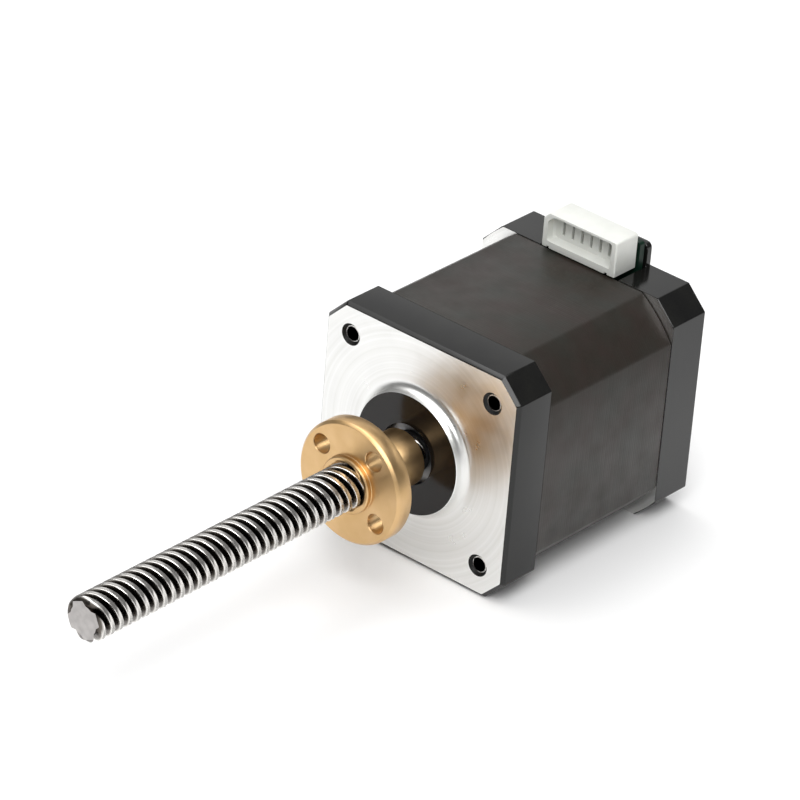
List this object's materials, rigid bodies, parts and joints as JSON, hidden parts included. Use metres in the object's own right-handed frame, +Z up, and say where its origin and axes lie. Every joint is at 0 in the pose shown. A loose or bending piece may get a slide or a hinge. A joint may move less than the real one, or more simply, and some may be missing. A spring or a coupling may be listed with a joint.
{
  "type": "stepper motor with lead screw",
  "caption": "Square-flange hybrid stepper motor whose shaft is a multi-start lead screw carrying a flanged nut.",
  "frame": {"origin": "middle of the footprint of motor and screw together, on the flat underside that the motor rests on", "axes": "+Y along the shaft from the screw's tip to the motor's rear face, +Z up to the connector side, +X to the right seen from the screw's end"},
  "size_m": [0.0424, 0.128, 0.0492],
  "materials": {
    "bell_paint": "glossy black paint on die-cast end bells, bare where the face is turned",
    "stator_steel": "satin blackened lamination stack",
    "insulator_nylon": "matte",
    "board_green": "satin solder mask",
    "connector_nylon": "satin natural nylon",
    "bearing_steel": "ground",
    "screw_steel": "rolled and bright",
    "rotor_steel": "punched",
    "magnet": "sintered",
    "nut_brass": "turned",
    "coil_copper": "enamelled wire",
    "pin_tin": "tinned",
    "fastener_steel": "zinc plated"
  },
  "bodies": {
    "motor": {"front_end_bell": "bell_paint", "rear_end_bell": "bell_paint", "case_screw_1": "fastener_steel", "case_screw_2": "fastener_steel", "case_screw_3": "fastener_steel", "case_screw_4": "fastener_steel", "stator_core": "stator_steel", "front_insulator": "insulator_nylon", "rear_insulator": "insulator_nylon", "coil_1": "coil_copper", "coil_2": "coil_copper", "coil_3": "coil_copper", "coil_4": "coil_copper", "coil_5": "coil_copper", "coil_6": "coil_copper", "coil_7": "coil_copper", "coil_8": "coil_copper", "terminal_board": "board_green", "connector_housing": "connector_nylon", "connector_pin_1": "pin_tin", "connector_pin_2": "pin_tin", "connector_pin_3": "pin_tin", "connector_pin_4": "pin_tin", "connector_pin_5": "pin_tin", "connector_pin_6": "pin_tin", "front_bearing_outer_ring": "bearing_steel", "front_bearing_front_shield": "bearing_steel", "front_bearing_rear_shield": "bearing_steel", "rear_bearing_outer_ring": "bearing_steel", "rear_bearing_front_shield": "bearing_steel", "rear_bearing_rear_shield": "bearing_steel", "wave_washer": "bearing_steel"},
    "rotor": {"lead_screw": "screw_steel", "front_rotor_cup": "rotor_steel", "rear_rotor_cup": "rotor_steel", "rotor_magnet": "magnet", "front_spacer": "bearing_steel", "rear_spacer": "bearing_steel", "front_bearing_inner_ring": "bearing_steel", "rear_bearing_inner_ring": "bearing_steel"},
    "front_balls": {"front_bearing_ball_cage": "bearing_steel"},
    "rear_balls": {"rear_bearing_ball_cage": "bearing_steel"},
    "nut": {"flanged_nut": "nut_brass"}
  },
  "joints": [
    {"name": "rotor_spin", "type": "hinge", "parent": "motor", "child": "rotor", "pos_m": [0, 0.015, 0.02115], "axis": [0, 1, 0], "range_deg": [0, 2610]},
    {"name": "nut_travel", "type": "slide", "parent": "motor", "child": "nut", "axis": [0, -1, 0], "range_m": [0, 0.058]},
    {"name": "front_balls_roll", "type": "hinge", "parent": "motor", "child": "front_balls", "pos_m": [0, 0.015, 0.02115], "axis": [0, 1, 0], "range_deg": [0, 914]},
    {"name": "rear_balls_roll", "type": "hinge", "parent": "motor", "child": "rear_balls", "pos_m": [0, 0.015, 0.02115], "axis": [0, 1, 0], "range_deg": [0, 914]}
  ],
  "couplings": [
    {"joint": "nut_travel", "follows": "rotor_spin", "m_per_rad": 0.0012732},
    {"joint": "front_balls_roll", "follows": "rotor_spin", "ratio": 0.35},
    {"joint": "rear_balls_roll", "follows": "rotor_spin", "ratio": 0.35}
  ]
}
